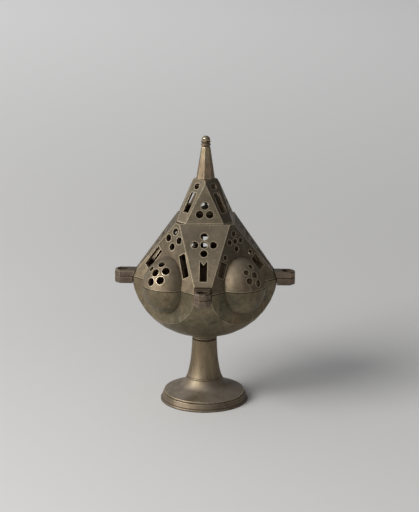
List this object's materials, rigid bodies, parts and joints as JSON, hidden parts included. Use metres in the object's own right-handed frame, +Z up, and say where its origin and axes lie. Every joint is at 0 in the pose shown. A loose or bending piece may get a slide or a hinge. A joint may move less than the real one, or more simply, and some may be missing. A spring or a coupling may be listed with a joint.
{
  "type": "censer",
  "caption": "Gothic cast censer on a trumpet foot: lobed bowl with chain eyes and a pierced two-tier lid under a spire, which slides up off the bowl.",
  "frame": {"origin": "centre of the foot's underside, on the surface that the censer stands on", "axes": "+Z up through the spire, front lug towards -Y, side lugs along +X and -X"},
  "size_m": [0.1388, 0.1388, 0.2098],
  "materials": {
    "cast_brass": "old cast brass, worn satin with a dark olive-brown patina",
    "turned_brass": "turned brass with faint lathe lines, worn satin and patinated",
    "iron": "blackened sheet iron with soot and ash"
  },
  "bodies": {
    "vessel": {"foot": "turned_brass", "stem_collar": "turned_brass", "bowl": "cast_brass", "foot_rivet": "turned_brass", "rivet_washer": "turned_brass", "coal_pan": "iron", "bowl_lug_front": "cast_brass", "bowl_lug_right": "cast_brass", "bowl_lug_back": "cast_brass", "bowl_lug_left": "cast_brass"},
    "lid": {"roof": "cast_brass", "lantern": "cast_brass", "spire": "cast_brass", "finial": "turned_brass", "lid_lug_front": "cast_brass", "lid_lug_right": "cast_brass", "lid_lug_back": "cast_brass", "lid_lug_left": "cast_brass"}
  },
  "joints": [
    {"name": "lid_lift", "type": "slide", "parent": "vessel", "child": "lid", "axis": [0, 0, 1], "range_m": [0, 0.11]}
  ]
}
